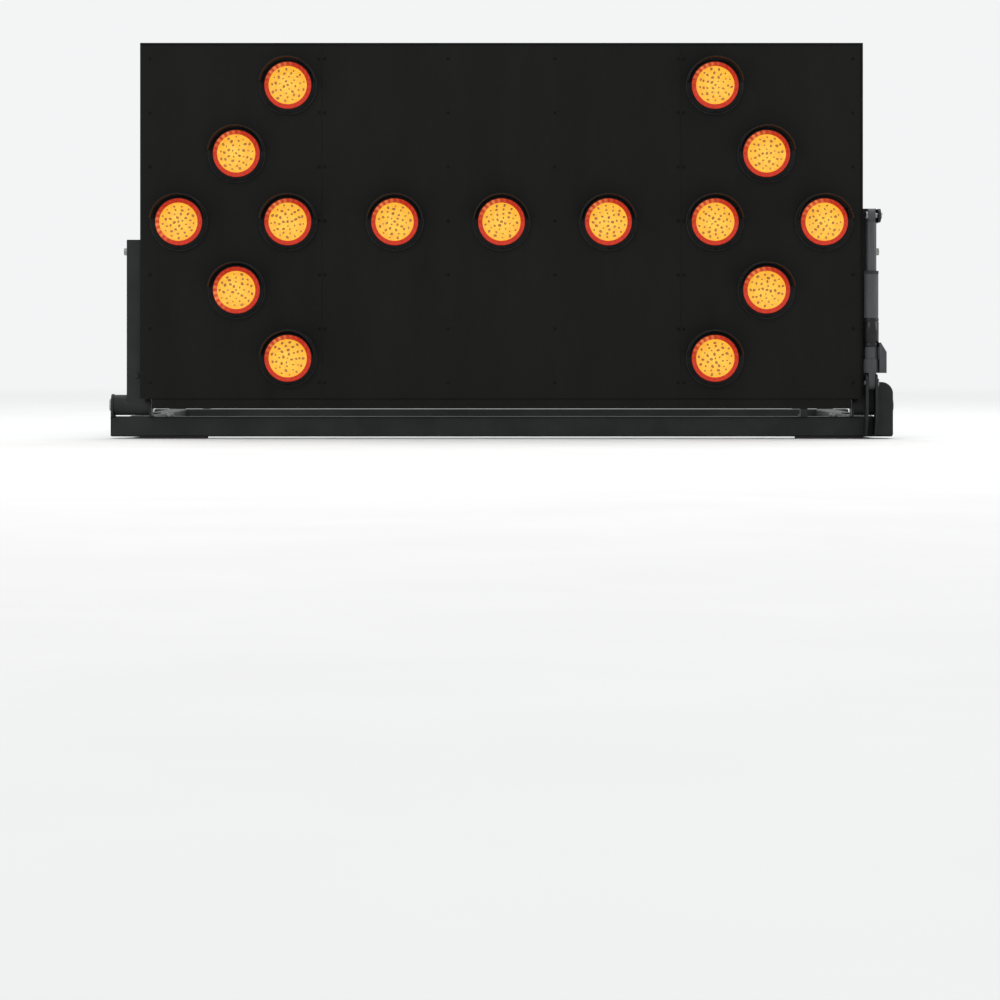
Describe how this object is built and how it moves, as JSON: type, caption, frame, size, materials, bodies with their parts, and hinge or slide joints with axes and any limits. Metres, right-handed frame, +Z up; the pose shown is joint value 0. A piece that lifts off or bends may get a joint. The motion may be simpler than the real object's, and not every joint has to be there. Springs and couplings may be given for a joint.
{
  "type": "folding arrow board",
  "caption": "Flat black arrow-shaped lamp board on a folding tube frame with a screw actuator, for the rails of a pickup bed.",
  "frame": {"origin": "centre of the four mounting holes, on the underside of the base beams", "axes": "+X along the base beams to the actuator's side, +Y from the lamp side over the bed, +Z up"},
  "size_m": [1.994, 1.1661, 1.002],
  "materials": {
    "frame_paint": "charcoal powder coat, satin",
    "black_plastic": "moulded, fine texture",
    "black_rubber": "matt",
    "zinc_steel": "zinc plated",
    "black_panel": "flat black powder coat",
    "amber_lens": "moulded acrylic, lit from behind",
    "circuit_board": "solder mask",
    "bronze": "sintered bronze",
    "box_grey": "powder coat",
    "actuator_black": "gloss black paint",
    "actuator_grey": "dark grey paint, satin",
    "rod_dark": "ground and nitrided, dark"
  },
  "bodies": {
    "base": {"rear_beam": "frame_paint", "front_beam": "frame_paint", "side_rail_left": "frame_paint", "side_rail_right": "frame_paint", "beam_caps": "black_plastic", "rail_pads": "black_rubber", "pad_bolts": "zinc_steel", "rest_strips": "black_rubber", "raised_stop": "frame_paint", "hinge_ears": "frame_paint", "hinge_pins": "zinc_steel", "foot_plates": "frame_paint", "foot_pin": "zinc_steel"},
    "sign": {"actuator_lug": "frame_paint", "board_posts": "black_plastic", "bottom_rail": "frame_paint", "box_knuckles": "zinc_steel", "box_seal": "black_rubber", "cable_glands": "black_plastic", "control_box": "box_grey", "driver_board": "circuit_board", "edge_angles": "black_panel", "face_centre": "black_panel", "face_left": "black_panel", "face_right": "black_panel", "harness": "black_rubber", "harness_clips": "black_plastic", "hinge_barrels": "frame_paint", "hinge_bushes": "bronze", "lamp_bezels": "black_plastic", "lamp_boards": "circuit_board", "lamp_cans": "black_plastic", "lamp_gaskets": "black_rubber", "lamp_hoods": "black_panel", "lamp_lenses": "amber_lens", "lid_pin": "zinc_steel", "lower_cross_tube": "frame_paint", "lug_boss": "zinc_steel", "rivets": "zinc_steel", "stiffeners": "frame_paint", "top_rail": "frame_paint", "upper_cross_tube": "frame_paint", "upright_bolts": "zinc_steel", "upright_caps": "black_plastic", "upright_left": "frame_paint", "upright_right": "frame_paint"},
    "lid": {"box_lid": "box_grey"},
    "latch_l": {"latch_left": "black_plastic"},
    "latch_r": {"latch_right": "black_plastic"},
    "actuator": {"gear_housing": "actuator_grey", "gear_cover": "actuator_black", "actuator_collar": "actuator_grey", "motor_sleeve": "actuator_black", "outer_tube": "actuator_grey", "wiper_seal": "black_rubber", "lead_screw": "zinc_steel"},
    "rod": {"inner_rod": "rod_dark", "drive_nut": "bronze", "rod_eye": "actuator_grey", "rod_pin": "zinc_steel"}
  },
  "joints": [
    {"name": "sign_fold", "type": "hinge", "parent": "base", "child": "sign", "pos_m": [0, -0.5187, 0.08], "axis": [-1, 0, 0], "range_deg": [0, 90]},
    {"name": "actuator_swing", "type": "hinge", "parent": "base", "child": "actuator", "pos_m": [0.935, -0.5757, 0.137], "axis": [-1, 0, 0], "range_deg": [0, 90]},
    {"name": "actuator_extend", "type": "slide", "parent": "actuator", "child": "rod", "axis": [0, 0, 1], "range_m": [0, 0.114]},
    {"name": "lid_hinge", "type": "hinge", "parent": "sign", "child": "lid", "pos_m": [0.12, -0.4685, 0.7595], "axis": [1, 0, 0], "range_deg": [0, 110]},
    {"name": "latch_left_turn", "type": "hinge", "parent": "lid", "child": "latch_l", "pos_m": [0.01, -0.4721, 0.595], "axis": [0, 1, 0], "range_deg": [0, 90]},
    {"name": "latch_right_turn", "type": "hinge", "parent": "lid", "child": "latch_r", "pos_m": [0.23, -0.4721, 0.595], "axis": [0, 1, 0], "range_deg": [0, 90]}
  ],
  "couplings": [
    {"joint": "actuator_swing", "follows": "sign_fold", "ratio": 1},
    {"joint": "actuator_extend", "follows": "sign_fold", "m_per_rad": 0.072575}
  ]
}
